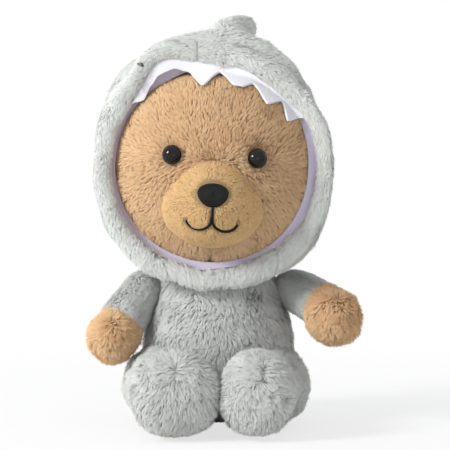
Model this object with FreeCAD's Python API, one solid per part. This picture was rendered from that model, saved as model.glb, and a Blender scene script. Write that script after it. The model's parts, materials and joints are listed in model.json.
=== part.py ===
import FreeCAD, Part
import math
import os

from FreeCAD import Matrix, Vector

# A seated plush teddy bear in a shark costume. Millimetres, +Z up, the bear faces -Y.
# The origin lies on the surface that the toy sits on, under the front half of its seat.

# Shared gaps and walls
GAP = 0.4  # between soft pieces, which never touch
SEAM = 0.2  # between panels that are sewn edge to edge
PLUSH_WALL = 3.0  # backing and pile of the body plush
HOOD_WALL = 4.5  # backing and pile of the hood plush
LINING_WALL = 0.8
FELT_WALL = 1.8
FAR = 400.0  # longer than the toy, for cutting tools

# Torso: an egg around a vertical axis, whose top is a ball that the head sits on
TORSO_Y = 12.0
SEAT_R = 36.0
HAUNCH_R = 51.0
HAUNCH_Z = 24.0
BELLY_R = 56.0
BELLY_Z = 56.0
CHEST_R = 52.0
CHEST_Z = 77.0
NECK_Z = 92.0
NECK_BALL_R = 44.0
NECK_WAD_R = 24.0
POUCH_BACK = 12.0  # of the torso's axis
POUCH_PADDING = 2.0  # stuffing between the pouch and the seat panel
POUCH_RADII = (23.0, 17.0, 10.0)

# Head: an ellipsoid, with the hood as a larger one around it
HEAD_X = -3.5
HEAD_FORWARD = 16.0  # of the torso's axis
HEAD_ABOVE_NECK = 93.0
HEAD_RADII = (75.0, 60.0, 74.0)
HEAD_ROLL = 2.5  # degrees, the crown leans towards +X
HOOD_BACK = 4.0  # of the head's middle
HOOD_RISE = 8.0
HOOD_DEPTH = (12.0, 10.0, 18.5)  # from the face's cover to the outside of the hood
HOOD_FLOOR_ABOVE_NECK = 24.5  # the hood ends here, above the shoulders

# Brim: a rolled hem around the face opening
BRIM_FORWARD = 24.0  # of the head's middle
BRIM_RISE = 3.5
BRIM_INSET = 2.2  # of the ring from the side of the hood
BRIM_ROLL_R = 6.0
BRIM_LEAN = 5.0  # degrees, its top is further back

# Teeth: one felt strip that hangs from under the brim, narrower towards its ends.
# Angles are from straight up, towards +X, around the centre of the strip's lower edge.
TOOTH_ANGLES = (-49.0, -9.0, 15.0, 35.0, 52.0)
TOOTH_HALF_WIDTH = 12.0
TOOTH_WAIST = 0.72  # of the tooth's width, halfway to its tip
TOOTH_TIP_R = 3.0
TOOTH_LENGTH = 8.0
TOOTH_ROOT = 1.0  # of a tooth inside the strip
STRIP_TUCK = 3.5  # of the strip's outer edge inside the brim's ring
STRIP_OPENING = 4.0  # of the lower edge's radius over the outer edge's
STRIP_DROP = 14.0  # of the lower edge's centre below the brim's
STRIP_OFF_FACE = 1.5

# Face
MUZZLE_SINK = 11.0  # of its middle behind the foremost point of the face
MUZZLE_DROP = 22.5  # of its middle below the head's
MUZZLE_RADII = (35.0, 28.0, 29.5)
MUZZLE_WALL = 2.0
NOSE_RISE = 9.5  # over the muzzle's middle
NOSE_HALF_WIDTH = 11.0
NOSE_HALF_HEIGHT = 8.2
NOSE_WALL = 1.8
MOUTH_LINE = 1.8
MOUTH_WALL = 1.0
MOUTH_DROP = 12.5  # of the curves' middles below the muzzle's
SMILE_R = 10.5
SMILE_SWEEP = 125.0
EYE_SPREAD = 30.0
EYE_HEIGHT = 12.5  # over the head's middle
EYE_R = 8.0
EYE_DOME = 6.4
SHANK_R = 2.0
SHANK_LENGTH = 10.0
WASHER_R = 6.5
WASHER_T = 1.5
WASHER_GAP = 0.7  # behind the curved face panel

# Shark's features on the hood
BEAD_R = 3.4
BEAD_ANGLE = 38.0
FIN_BACK = 36.0  # of the hood's middle
FIN_RADII = (14.0, 21.0, 29.0)
FIN_WALL = 3.0
FIN_LEAN_BACK = 38.0
FIN_LEAN_SIDE = 24.0
FIN_HINGE_RISE = 1.0  # of the hinge line over the hood
FIN_GAP = 1.3  # the fin's root turns in a slit this much wider

# Arms: each built along its own axis, from the shoulder to the paw
SHOULDER_FORWARD = 4.0  # of the torso's axis
SHOULDER_RISE = 5.5  # over the neck ball's middle
SHOULDER_OUT = {"left": 11.5, "right": 9.0}  # from the neck ball's side
ARM_DIRECTION = {"left": (-21.0, -24.0, -31.5), "right": (31.0, -31.0, -14.0)}
ARM_ROOT_R = 13.6
CUFF_R = 17.0
CUFF_AT = 31.0
CUFF_ROLL_R = 2.4
SLEEVE_ROOT_EDGE = 18.0  # degrees, where the sleeve leaves its round root
PAW_R = 19.5
PAW_BEYOND_CUFF = 15.0
PAW_OPENING = 2.5  # beyond the cuff
ARM_SWING = {"left": (-25.0, 50.0), "right": (-35.0, 20.0)}  # degrees, back and forward
ARM_RAISE = {"left": (0.0, 50.0), "right": (-30.0, 12.0)}  # degrees, down and up

# Legs: each built along its own axis, from the hip to the sole
HIP_X = {"left": -38.0, "right": 33.0}
HIP_FORWARD = 17.0  # of the torso's axis
LEG_ROOT_R = 27.0
LEG_TUBE_R = 23.5
ANKLE_R = 25.0
FOOT_R = 29.5
FEET_APART = 0.8
FEET_LIFT = 0.2  # over the surface, so that the seat carries the toy
LEG_LENGTH = 94.0
SOLE_R = 20.0
SOLE_CROWN = 3.0
TOE_ROUND = 16.0
TOE_BULGE = 2.0
TOE_LIFT = 1.0  # of the roundest place beyond the middle of the toe
FOOT_FLAT = 9.0
HEEL_TAPER = 18.0
LEG_LIFT = (-60.0, 12.0)  # degrees, below and above the seated pose
LEG_SPREAD = 22.0  # degrees, outwards
LEG_SWAY = 1.2  # of the room for a leg's tube, between its poses

UP = Vector(0, 0, 1)
BACK = Vector(0, 1, 0)
RIGHT = Vector(1, 0, 0)
NECK = Vector(0, TORSO_Y, NECK_Z)
HEAD = NECK + Vector(HEAD_X, -HEAD_FORWARD, HEAD_ABOVE_NECK)
HOOD = HEAD + Vector(0, HOOD_BACK, HOOD_RISE)
BRIM = HEAD + Vector(0, -BRIM_FORWARD, BRIM_RISE)
MUZZLE = HEAD + Vector(0, MUZZLE_SINK - HEAD_RADII[1], -MUZZLE_DROP)
HOOD_RADII = tuple(head + depth for head, depth in zip(HEAD_RADII, HOOD_DEPTH))
BRIM_BEHIND = (BRIM_FORWARD + HOOD_BACK) / HOOD_RADII[1]  # a share of the hood's depth
BRIM_RING_R = HOOD_RADII[0] * math.sqrt(1 - BRIM_BEHIND**2) - BRIM_INSET
STRIP_OUTER_R = BRIM_RING_R - STRIP_TUCK
STRIP_EDGE_R = STRIP_OUTER_R + STRIP_OPENING
NOSE_Z = MUZZLE.z + NOSE_RISE
MOUTH_Z = MUZZLE.z - MOUTH_DROP
LEG_Z = FOOT_R + FEET_LIFT
PAW_AT = CUFF_AT + PAW_BEYOND_CUFF
PAW_OPENING_AT = CUFF_AT + PAW_OPENING
SOLE_AT = LEG_LENGTH - SOLE_CROWN
TOE_AT = SOLE_AT - TOE_ROUND
HEEL_AT = TOE_AT - FOOT_FLAT
ANKLE_AT = HEEL_AT - HEEL_TAPER


# Shared forms


def grown(radii, by):
    """Half-axes that are longer by the same amount, or shorter by a negative one."""
    return tuple(radius + by for radius in radii)


def ellipsoid(centre, radii):
    """A closed ellipsoid with half-axes along X, Y and Z."""
    scale = Matrix()
    scale.scale(*radii)
    solid = Part.makeSphere(1.0).transformGeometry(scale)
    solid.translate(centre)
    return solid


def ellipsoid_shell(centre, radii, low, high):
    """The space between two copies of an ellipsoid, grown by low and by high."""
    return ellipsoid(centre, grown(radii, high)).cut(ellipsoid(centre, grown(radii, low)))


def half_space(point, normal):
    """A large block on the side of a plane that its normal points to."""
    block = Part.makeBox(FAR, FAR, FAR, Vector(-FAR / 2, -FAR / 2, 0))
    block.Placement = FreeCAD.Placement(point, FreeCAD.Rotation(UP, normal))
    return block


def largest_solid(shape):
    """The biggest solid of a cut shape, which leaves its crumbs."""
    return max(shape.Solids, key=lambda solid: solid.Volume)


def revolved(edges):
    """The solid that a closed profile of edges in the XZ plane makes around Z."""
    face = Part.Face(Part.Wire(edges))
    return face.revolve(Vector(0, 0, 0), UP, 360)


def at(radius, height):
    """A point of a profile, from its distance to the axis and its height."""
    return Vector(radius, 0, height)


def line(start, end):
    return Part.LineSegment(start, end).toShape()


def arc(start, middle, end):
    return Part.Arc(start, middle, end).toShape()


def ball_arc(radius, height, start_deg, end_deg):
    """An arc of a ball on the axis, by angles above its equator."""
    points = []
    for degrees in (start_deg, (start_deg + end_deg) / 2, end_deg):
        turn = math.radians(degrees)
        points.append(at(radius * math.cos(turn), height + radius * math.sin(turn)))
    return arc(*points)


def laid_along(solid, start, direction):
    """A solid built along Z, moved so that its Z axis runs from start in a direction."""
    solid.Placement = FreeCAD.Placement(start, FreeCAD.Rotation(UP, direction))
    return solid


def rolled(solid):
    """A piece of the head, turned from its upright frame to the way that the head leans."""
    solid.rotate(HEAD, BACK, HEAD_ROLL)
    return solid


# Torso


def egg(inset):
    """The torso's body of revolution, its surface moved inwards."""
    equator = at(NECK_BALL_R - inset, NECK_Z)
    belly = at(BELLY_R - inset, BELLY_Z)
    seat = at(SEAT_R - inset, inset)
    solid = revolved([
        line(at(0, inset), seat),
        arc(seat, at(HAUNCH_R - inset, HAUNCH_Z), belly),
        arc(belly, at(CHEST_R - inset, CHEST_Z), equator),
        ball_arc(NECK_BALL_R - inset, NECK_Z, 0, 90),
        line(at(0, NECK_Z + NECK_BALL_R - inset), at(0, inset)),
    ])
    solid.translate(Vector(0, TORSO_Y, 0))
    return solid


def outwards(side):
    """The sign of X on one side."""
    return 1 if side == "right" else -1


def shoulder(side):
    out = outwards(side) * (NECK_BALL_R + SHOULDER_OUT[side])
    return NECK + Vector(out, -SHOULDER_FORWARD, SHOULDER_RISE)


def hip(side):
    return Vector(HIP_X[side], TORSO_Y - HIP_FORWARD, LEG_Z)


def leg_direction(side):
    foot_x = outwards(side) * (FOOT_R + FEET_APART / 2)
    return Vector(foot_x - HIP_X[side], -LEG_LENGTH, 0)


def leg_room(side, extra):
    """What a leg sweeps in the torso: its root ball, and its tube in turned poses."""
    room = Part.makeSphere(LEG_ROOT_R + extra, hip(side))
    for lift in (LEG_LIFT[0], LEG_LIFT[0] / 2, 0, LEG_LIFT[1]):
        for spread in (0, LEG_SPREAD):
            tube = Part.makeCylinder(ANKLE_R + LEG_SWAY + extra, LEG_LENGTH)
            tube = laid_along(tube, hip(side), leg_direction(side))
            tube.rotate(hip(side), RIGHT, -lift)
            tube.rotate(hip(side), UP, outwards(side) * spread)
            room = room.fuse(tube)
    return room


def arm_room(side, extra):
    """What a sleeve sweeps beside the torso as it swings back and is lowered."""
    room = Part.makeSphere(ARM_ROOT_R + extra, shoulder(side))
    widest = CUFF_R + CUFF_ROLL_R / 2
    for swing, lift in ((0, 0), (ARM_SWING[side][0], 0), (0, ARM_RAISE[side][0])):
        cone = Part.makeCone(ARM_ROOT_R + extra, widest + extra, CUFF_AT + CUFF_ROLL_R)
        cone = laid_along(cone, shoulder(side), Vector(*ARM_DIRECTION[side]))
        cone.rotate(shoulder(side), BACK, -outwards(side) * lift)
        cone.rotate(shoulder(side), RIGHT, -swing)
        room = room.fuse(cone)
    return room


def torso_pieces():
    """The covers, seat, stuffing and pellet pouch, with sockets for the limbs."""
    cover = egg(0).cut(egg(PLUSH_WALL))
    seat = Part.makeCylinder(SEAT_R - SEAM, PLUSH_WALL, Vector(0, TORSO_Y, 0))
    seat_room = Part.makeCylinder(SEAT_R, PLUSH_WALL + SEAM, Vector(0, TORSO_Y, 0))
    filling = egg(PLUSH_WALL + GAP)
    pouch_z = PLUSH_WALL + POUCH_PADDING + POUCH_RADII[2]
    pouch_at = Vector(0, TORSO_Y + POUCH_BACK, pouch_z)
    cover = cover.cut(seat_room)
    for side in ("left", "right"):
        cover = cover.cut(leg_room(side, GAP))
        cover = cover.cut(arm_room(side, GAP))
        seat = seat.cut(leg_room(side, GAP))
        filling = filling.cut(leg_room(side, PLUSH_WALL))
        filling = filling.cut(arm_room(side, PLUSH_WALL))
    filling = largest_solid(filling).cut(Part.makeSphere(NECK_WAD_R + GAP, NECK))
    filling = filling.cut(ellipsoid(pouch_at, grown(POUCH_RADII, GAP)))
    side_seam = Vector(0, TORSO_Y, 0)
    front = cover.common(half_space(side_seam - BACK * SEAM, -BACK))
    return {
        "torso_front": largest_solid(front),
        "torso_back": largest_solid(cover.common(half_space(side_seam, BACK))),
        "seat_panel": seat,
        "torso_stuffing": filling,
        "pellet_pouch": ellipsoid(pouch_at, POUCH_RADII),
        "neck_stuffing": Part.makeSphere(NECK_WAD_R, NECK),
    }


# Head


def neck_socket(solid, extra=0.0):
    """A piece of the head, hollowed where the head sits on the torso's ball."""
    return solid.cut(Part.makeSphere(NECK_BALL_R + GAP + extra, NECK))


def eye_placement(side):
    """Where an eye meets the face and the way it looks, in the head's upright frame."""
    across = outwards(side) * EYE_SPREAD
    x_share = across / HEAD_RADII[0]
    z_share = EYE_HEIGHT / HEAD_RADII[2]
    y_share = -math.sqrt(1 - x_share**2 - z_share**2)
    point = HEAD + Vector(across, y_share * HEAD_RADII[1], EYE_HEIGHT)
    slopes = (x_share, y_share, z_share)
    normal = Vector(*(share / radius for share, radius in zip(slopes, HEAD_RADII)))
    return point, normal.normalize()


def eye(side):
    """A domed safety eye with its shank."""
    point, normal = eye_placement(side)
    radius = (EYE_R**2 + EYE_DOME**2) / (2 * EYE_DOME)
    centre = point + normal * (EYE_DOME + GAP - radius)
    dome = Part.makeSphere(radius, centre).common(half_space(point + normal * GAP, normal))
    shank_start = point + normal * (GAP + 1)
    shank = Part.makeCylinder(SHANK_R, SHANK_LENGTH + GAP + 1, shank_start, -normal)
    return dome.fuse(shank).removeSplitter()


def eye_hole(side, extra):
    """The tool that bores an eye's hole through the face and into the stuffing."""
    point, normal = eye_placement(side)
    return Part.makeCylinder(SHANK_R + extra, FAR / 4, point + normal * FAR / 8, -normal)


def washer_blank(side, extra):
    """The washer's disc behind the face panel, grown on every side for its pocket."""
    point, normal = eye_placement(side)
    start = point - normal * (PLUSH_WALL + WASHER_GAP - extra)
    return Part.makeCylinder(WASHER_R + extra, WASHER_T + 2 * extra, start, -normal)


def eye_pocket(side):
    """The room that an eye's shank and washer take out of the stuffing."""
    point, normal = eye_placement(side)
    shank = Part.makeCylinder(SHANK_R + GAP, SHANK_LENGTH + GAP, point, -normal)
    return washer_blank(side, GAP).fuse(shank)


def face_pieces():
    """The head's covers and stuffing, and its two safety eyes."""
    cover = ellipsoid_shell(HEAD, HEAD_RADII, -PLUSH_WALL, 0)
    filling = ellipsoid(HEAD, grown(HEAD_RADII, -PLUSH_WALL - GAP))
    pieces = {}
    for side in ("left", "right"):
        cover = cover.cut(eye_hole(side, SEAM))
        filling = filling.cut(eye_pocket(side))
        pieces[f"eye_{side}"] = rolled(eye(side))
        washer = washer_blank(side, 0).cut(eye_hole(side, SEAM / 2))
        pieces[f"eye_washer_{side}"] = rolled(washer)
    ear_seam = HEAD - BACK * SEAM
    face = cover.common(half_space(ear_seam, -BACK))
    back = cover.common(half_space(HEAD, BACK))
    face_left = face.common(half_space(HEAD - RIGHT * SEAM / 2, -RIGHT))
    face_right = face.common(half_space(HEAD + RIGHT * SEAM / 2, RIGHT))
    pieces["face_left"] = neck_socket(rolled(face_left))
    pieces["face_right"] = neck_socket(rolled(face_right))
    pieces["head_back"] = neck_socket(rolled(back))
    pieces["head_stuffing"] = neck_socket(rolled(filling), GAP)
    return pieces


def front_prism(edges, start_y=-FAR / 2, end_y=BRIM.y):
    """A flat outline in the XZ plane, drawn out from front to back."""
    face = Part.Face(Part.Wire(edges))
    face.translate(Vector(0, start_y, 0))
    return face.extrude(BACK * (end_y - start_y))


def on_muzzle(prism, low, high):
    """The part of a prism that lies in a layer over the muzzle."""
    layer = ellipsoid_shell(MUZZLE, MUZZLE_RADII, low, high)
    return layer.common(prism)


def nose_patch():
    """The embroidered nose, a wide oval that rests on the muzzle."""
    oval = Part.Ellipse(Vector(0, 0, 0), NOSE_HALF_WIDTH, NOSE_HALF_HEIGHT).toShape()
    oval.rotate(Vector(0, 0, 0), RIGHT, 90)
    oval.translate(Vector(HEAD_X, 0, NOSE_Z))
    return on_muzzle(front_prism([oval], end_y=MUZZLE.y), GAP, GAP + NOSE_WALL)


def smile(side):
    """One curve of the mouth, from the philtrum down and out."""
    depth = FAR / 2 + MUZZLE.y
    outer = Part.makeCylinder(SMILE_R + MOUTH_LINE / 2, depth, Vector(0, 0, 0), UP, SMILE_SWEEP)
    ring = outer.cut(Part.makeCylinder(SMILE_R - MOUTH_LINE / 2, depth))
    ring.rotate(Vector(0, 0, 0), UP, 180 if side == "right" else -SMILE_SWEEP)
    ring.rotate(Vector(0, 0, 0), RIGHT, 90)
    ring.translate(Vector(MUZZLE.x + outwards(side) * SMILE_R, MUZZLE.y, MOUTH_Z))
    return ring


def mouth_line():
    """The embroidered philtrum and the two curves of the mouth."""
    top = NOSE_Z - NOSE_HALF_HEIGHT - SEAM
    corners = [
        Vector(HEAD_X - MOUTH_LINE / 2, 0, MOUTH_Z),
        Vector(HEAD_X + MOUTH_LINE / 2, 0, MOUTH_Z),
        Vector(HEAD_X + MOUTH_LINE / 2, 0, top),
        Vector(HEAD_X - MOUTH_LINE / 2, 0, top),
    ]
    philtrum = front_prism(Part.makePolygon(corners + corners[:1]).Edges, end_y=MUZZLE.y)
    lines = philtrum.fuse(smile("left")).fuse(smile("right"))
    return on_muzzle(lines, GAP, GAP + MOUTH_WALL).removeSplitter()


def muzzle_pieces():
    """The muzzle's cover and stuffing on the face, with the nose and mouth on top."""
    face = ellipsoid(HEAD, grown(HEAD_RADII, GAP))
    inner = ellipsoid(MUZZLE, grown(MUZZLE_RADII, -MUZZLE_WALL))
    cover = ellipsoid(MUZZLE, MUZZLE_RADII).cut(inner).cut(face)
    filling = ellipsoid(MUZZLE, grown(MUZZLE_RADII, -MUZZLE_WALL - GAP)).cut(face)
    return {
        "muzzle_cover": rolled(cover),
        "muzzle_stuffing": rolled(filling),
        "nose": rolled(nose_patch()),
        "mouth": rolled(mouth_line()),
    }


# Hood


def brim_normal():
    """The way that the face opening looks: forwards and a little up."""
    lean = math.radians(BRIM_LEAN)
    return Vector(0, -math.cos(lean), math.sin(lean))


def brim_ring(extra=0.0):
    return Part.makeTorus(BRIM_RING_R, BRIM_ROLL_R + extra, BRIM, brim_normal())


def tooth(angle_deg):
    """The outline of one tooth, drawn out from front to back."""
    turn = math.radians(angle_deg)
    inwards = Vector(-math.sin(turn), 0, -math.cos(turn))
    across = Vector(math.cos(turn), 0, -math.sin(turn))
    root = Vector(BRIM.x, 0, BRIM.z - STRIP_DROP) - inwards * (STRIP_EDGE_R + TOOTH_ROOT)
    tip = root + inwards * (TOOTH_LENGTH + TOOTH_ROOT - TOOTH_TIP_R)
    waist = (root + tip) / 2
    waist_width = across * TOOTH_HALF_WIDTH * TOOTH_WAIST
    corners = [
        root - across * TOOTH_HALF_WIDTH,
        waist - waist_width,
        tip - across * TOOTH_TIP_R,
        tip + across * TOOTH_TIP_R,
        waist + waist_width,
        root + across * TOOTH_HALF_WIDTH,
    ]
    blade = front_prism(Part.makePolygon(corners + corners[:1]).Edges)
    depth = FAR / 2 + BRIM.y
    end = Part.makeCylinder(TOOTH_TIP_R, depth, tip - BACK * FAR / 2, BACK)
    return blade.fuse(end)


def tooth_strip():
    """White felt teeth on one band, lying over the forehead and under the brim."""
    depth = FAR / 2 + BRIM.y + BRIM_ROLL_R
    start = Vector(BRIM.x, -FAR / 2, BRIM.z)
    outer = Part.makeCylinder(STRIP_OUTER_R, depth, start, BACK)
    edge = Part.makeCylinder(STRIP_EDGE_R, depth, start - UP * STRIP_DROP, BACK)
    outline = outer.cut(edge)
    for angle in TOOTH_ANGLES:
        outline = outline.fuse(tooth(angle))
    outline = outline.common(half_space(BRIM, brim_normal()))
    layer = ellipsoid_shell(HEAD, HEAD_RADII, STRIP_OFF_FACE, STRIP_OFF_FACE + FELT_WALL)
    return largest_solid(layer.common(outline).cut(brim_ring(SEAM)))


def fin_frame():
    """The fin's hinge point, its hinge line and the way it stands, in the upright frame."""
    share = FIN_BACK / HOOD_RADII[1]
    height = HOOD_RADII[2] * math.sqrt(1 - share**2)
    lean = math.radians(FIN_LEAN_BACK)
    out = Vector(0, math.sin(lean), math.cos(lean))
    along = Vector(0, math.cos(lean), -math.sin(lean))
    return HOOD + Vector(0, FIN_BACK, height) + out * FIN_HINGE_RISE, along, out


def fin_root(extra):
    """The round root of the fin, a cylinder around its hinge line."""
    point, along, _ = fin_frame()
    length = 2 * (FIN_RADII[1] + extra)
    return Part.makeCylinder(FIN_RADII[0] + extra, length, point - along * length / 2, along)


def fin_blade(inset):
    """The stuffed fin: an ellipsoid that ends in its round root."""
    point, _, out = fin_frame()
    blade = ellipsoid(Vector(0, 0, 0), grown(FIN_RADII, -inset))
    blade.Placement = FreeCAD.Placement(point, FreeCAD.Rotation(UP, out))
    above = blade.common(half_space(point, out))
    below = blade.common(fin_root(-inset)).cut(half_space(point, out))
    blade = above.fuse(below).removeSplitter()
    blade.rotate(point, fin_frame()[1], FIN_LEAN_SIDE)
    return blade


def bead(side):
    """One of the shark's bead eyes, in the fold between the brim and the hood."""
    turn = math.radians(outwards(side) * BEAD_ANGLE)
    lean = math.radians(BRIM_LEAN)
    outward = Vector(math.sin(turn), math.cos(turn) * math.sin(lean), math.cos(turn) * math.cos(lean))
    reach = BRIM_ROLL_R + BEAD_R + SEAM
    forward = BEAD_R + SEAM
    away = math.sqrt(reach**2 - forward**2)
    return Part.makeSphere(BEAD_R, BRIM + outward * (BRIM_RING_R + away) + brim_normal() * forward)


def hood_layer(low, high, forward):
    """A layer of the hood, open at the front where the brim lies and at the neck."""
    layer = ellipsoid_shell(HOOD, HOOD_RADII, low, high)
    return trimmed_hood(layer, forward)


def trimmed_hood(layer, forward):
    """A layer around the head, cut at the face opening, at the brim and at the neck."""
    layer = layer.cut(half_space(BRIM + brim_normal() * forward, brim_normal()))
    layer = layer.cut(brim_ring(SEAM))
    layer = neck_socket(rolled(layer))
    return layer.common(half_space(NECK + UP * HOOD_FLOOR_ABOVE_NECK, UP))


def hood_pieces():
    """The hood's shell, padding, lining, brim, teeth, bead eyes and fin."""
    slit = rolled(fin_root(FIN_GAP))
    shell = hood_layer(-HOOD_WALL, 0, 0).cut(slit)
    lining_room = ellipsoid(HEAD, grown(HEAD_RADII, 2 * GAP + LINING_WALL))
    padding = ellipsoid(HOOD, grown(HOOD_RADII, -HOOD_WALL - GAP)).cut(lining_room)
    padding = trimmed_hood(padding, 0).cut(slit)
    lining = ellipsoid_shell(HEAD, HEAD_RADII, GAP, GAP + LINING_WALL)
    crown = rolled(half_space(HEAD, RIGHT))
    return {
        "hood_left": largest_solid(shell.cut(crown)),
        "hood_right": largest_solid(shell.common(crown)),
        "hood_padding": largest_solid(padding),
        "hood_lining": largest_solid(trimmed_hood(lining, BRIM_ROLL_R)),
        "hood_brim": rolled(brim_ring()),
        "tooth_strip": rolled(tooth_strip()),
        "shark_eye_left": rolled(bead("left")),
        "shark_eye_right": rolled(bead("right")),
        "fin_cover": rolled(fin_blade(0).cut(fin_blade(FIN_WALL))),
        "fin_stuffing": rolled(fin_blade(FIN_WALL + GAP)),
    }


# Arms


def sleeve_form(inset, end):
    """The sleeve's body of revolution, its surface moved inwards, cut off at end."""
    root = ARM_ROOT_R - inset
    turn = math.radians(SLEEVE_ROOT_EDGE)
    shoulder_edge = at(root * math.cos(turn), root * math.sin(turn))
    return revolved([
        ball_arc(root, 0, -90, SLEEVE_ROOT_EDGE),
        line(shoulder_edge, at(CUFF_R - inset, end)),
        line(at(CUFF_R - inset, end), at(0, end)),
        line(at(0, end), at(0, -root)),
    ])


def arm_pieces(side):
    """One arm: sleeve, cuff, paw and stuffing, around a wad of stuffing in the shoulder."""
    paw_centre = Vector(0, 0, PAW_AT)
    cuff = Part.makeTorus(CUFF_R - CUFF_ROLL_R / 2, CUFF_ROLL_R, Vector(0, 0, CUFF_AT))
    cuff_room = Part.makeTorus(CUFF_R - CUFF_ROLL_R / 2, CUFF_ROLL_R + SEAM, Vector(0, 0, CUFF_AT))
    paw_ball = Part.makeSphere(PAW_R, paw_centre)
    cuff = cuff.cut(Part.makeSphere(PAW_R + SEAM, paw_centre))
    bore = sleeve_form(PLUSH_WALL, CUFF_AT + CUFF_ROLL_R)
    cuff = cuff.cut(bore)
    sleeve = sleeve_form(0, CUFF_AT).cut(sleeve_form(PLUSH_WALL, CUFF_AT)).cut(cuff_room)
    paw = paw_ball.cut(Part.makeSphere(PAW_R - PLUSH_WALL, paw_centre))
    paw = paw.common(half_space(Vector(0, 0, PAW_OPENING_AT), UP))
    filling = sleeve_form(PLUSH_WALL + GAP, PAW_OPENING_AT - GAP)
    filling = filling.common(half_space(Vector(0, 0, 1), UP))
    filling = filling.cut(Part.makeSphere(ARM_ROOT_R - PLUSH_WALL, Vector(0, 0, 0)))
    filling = filling.fuse(Part.makeSphere(PAW_R - PLUSH_WALL - GAP, paw_centre))
    pieces = {
        f"sleeve_{side}": largest_solid(sleeve),
        f"cuff_{side}": largest_solid(cuff),
        f"paw_{side}": paw,
        f"arm_stuffing_{side}": filling.removeSplitter(),
        f"shoulder_stuffing_{side}": Part.makeSphere(ARM_ROOT_R - PLUSH_WALL - GAP),
    }
    direction = Vector(*ARM_DIRECTION[side])
    return {name: laid_along(solid, shoulder(side), direction) for name, solid in pieces.items()}


# Legs


def leg_wall(inset, root):
    """The leg's outline, moved inwards, from the edge of a ball in the hip to the sole."""
    tube = LEG_TUBE_R - inset
    ankle = at(ANKLE_R - inset, ANKLE_AT)
    heel = at(FOOT_R - inset, HEEL_AT)
    toe = at(FOOT_R - inset, TOE_AT)
    toe_middle = at(FOOT_R - TOE_BULGE - inset, TOE_AT + (TOE_ROUND - inset) / 2 + TOE_LIFT)
    sole = at(SOLE_R, SOLE_AT - inset)
    crown_r = (SOLE_R**2 + SOLE_CROWN**2) / (2 * SOLE_CROWN)
    crown_deg = math.degrees(math.acos(SOLE_R / crown_r))
    return [
        line(at(tube, math.sqrt(root**2 - tube**2)), ankle),
        line(ankle, heel),
        line(heel, toe),
        arc(toe, toe_middle, sole),
        ball_arc(crown_r, LEG_LENGTH - inset - crown_r, crown_deg, 90),
    ]


def leg_form(inset):
    """The leg's body of revolution from its root ball to its sole, moved inwards."""
    root = LEG_ROOT_R - inset
    edge_deg = math.degrees(math.acos((LEG_TUBE_R - inset) / root))
    start = ball_arc(root, 0, -90, edge_deg)
    axis = line(at(0, LEG_LENGTH - inset), at(0, -root))
    return revolved([start, *leg_wall(inset, root), axis])


def leg_filling():
    """The leg's stuffing, hollow at the top for the wad that stays in the hip."""
    inset = PLUSH_WALL + GAP
    socket = LEG_ROOT_R - PLUSH_WALL
    edge_deg = math.degrees(math.acos((LEG_TUBE_R - inset) / socket))
    start = ball_arc(socket, 0, 90, edge_deg)
    axis = line(at(0, LEG_LENGTH - inset), at(0, socket))
    return revolved([start, *leg_wall(inset, socket), axis])


def leg_pieces(side):
    """One leg: cover, sole panel and stuffing, around a wad of stuffing in the hip."""
    cover = leg_form(0).cut(leg_form(PLUSH_WALL))
    start = Vector(0, 0, TOE_AT)
    sole_tool = Part.makeCylinder(SOLE_R, FAR, start)
    sole_room = Part.makeCylinder(SOLE_R + SEAM, FAR, start)
    pieces = {
        f"leg_cover_{side}": cover.cut(sole_room),
        f"sole_{side}": cover.common(sole_tool),
        f"leg_stuffing_{side}": leg_filling(),
        f"hip_stuffing_{side}": Part.makeSphere(LEG_ROOT_R - PLUSH_WALL - GAP),
    }
    return {name: laid_along(solid, hip(side), leg_direction(side)) for name, solid in pieces.items()}


# The toy


def all_pieces():
    """Every piece of the toy, by node name."""
    pieces = torso_pieces() | face_pieces() | muzzle_pieces() | hood_pieces()
    for side in ("left", "right"):
        pieces |= arm_pieces(side) | leg_pieces(side)
    return pieces


def main():
    os.makedirs("parts", exist_ok=True)
    for name, shape in all_pieces().items():
        shape.exportStep(f"parts/{name}.step")


main()
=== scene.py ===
import json
import math
from dataclasses import dataclass

import bmesh
import bpy
import numpy as np
from bpy.props import FloatProperty, FloatVectorProperty, PointerProperty
from mathutils import Matrix, Vector
from mathutils.bvhtree import BVHTree
from mathutils.kdtree import KDTree


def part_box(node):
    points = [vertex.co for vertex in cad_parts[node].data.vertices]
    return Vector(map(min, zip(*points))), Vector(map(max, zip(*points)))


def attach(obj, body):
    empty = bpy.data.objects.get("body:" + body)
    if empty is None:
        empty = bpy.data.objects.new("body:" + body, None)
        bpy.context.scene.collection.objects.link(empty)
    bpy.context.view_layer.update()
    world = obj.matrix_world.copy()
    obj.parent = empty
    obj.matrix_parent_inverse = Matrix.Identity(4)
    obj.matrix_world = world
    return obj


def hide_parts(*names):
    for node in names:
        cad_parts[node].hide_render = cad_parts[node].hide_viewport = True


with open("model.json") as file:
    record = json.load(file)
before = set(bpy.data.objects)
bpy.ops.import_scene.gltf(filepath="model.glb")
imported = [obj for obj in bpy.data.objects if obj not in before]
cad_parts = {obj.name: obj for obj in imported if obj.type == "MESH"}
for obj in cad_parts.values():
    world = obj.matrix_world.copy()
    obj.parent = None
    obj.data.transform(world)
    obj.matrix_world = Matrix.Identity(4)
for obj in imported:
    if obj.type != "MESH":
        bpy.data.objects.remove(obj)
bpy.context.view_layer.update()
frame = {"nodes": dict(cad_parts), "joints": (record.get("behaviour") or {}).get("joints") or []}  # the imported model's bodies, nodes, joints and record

bl_info = {
    "name": "Costume Bear",
    "version": (1, 0, 0),
    "blender": (4, 5, 0),
    "location": "3D View > Sidebar > Costume Bear",
    "description": "Dresses a seated plush bear in a hooded shark costume, panel by panel",
    "category": "Object",
}

MM = 0.001  # shapes are worked out in millimetres
TURN = 2 * math.pi
SIDES = ("left", "right")
OUTWARDS = {"left": -1, "right": 1}
FORWARDS = (0, -1, 0)


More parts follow.
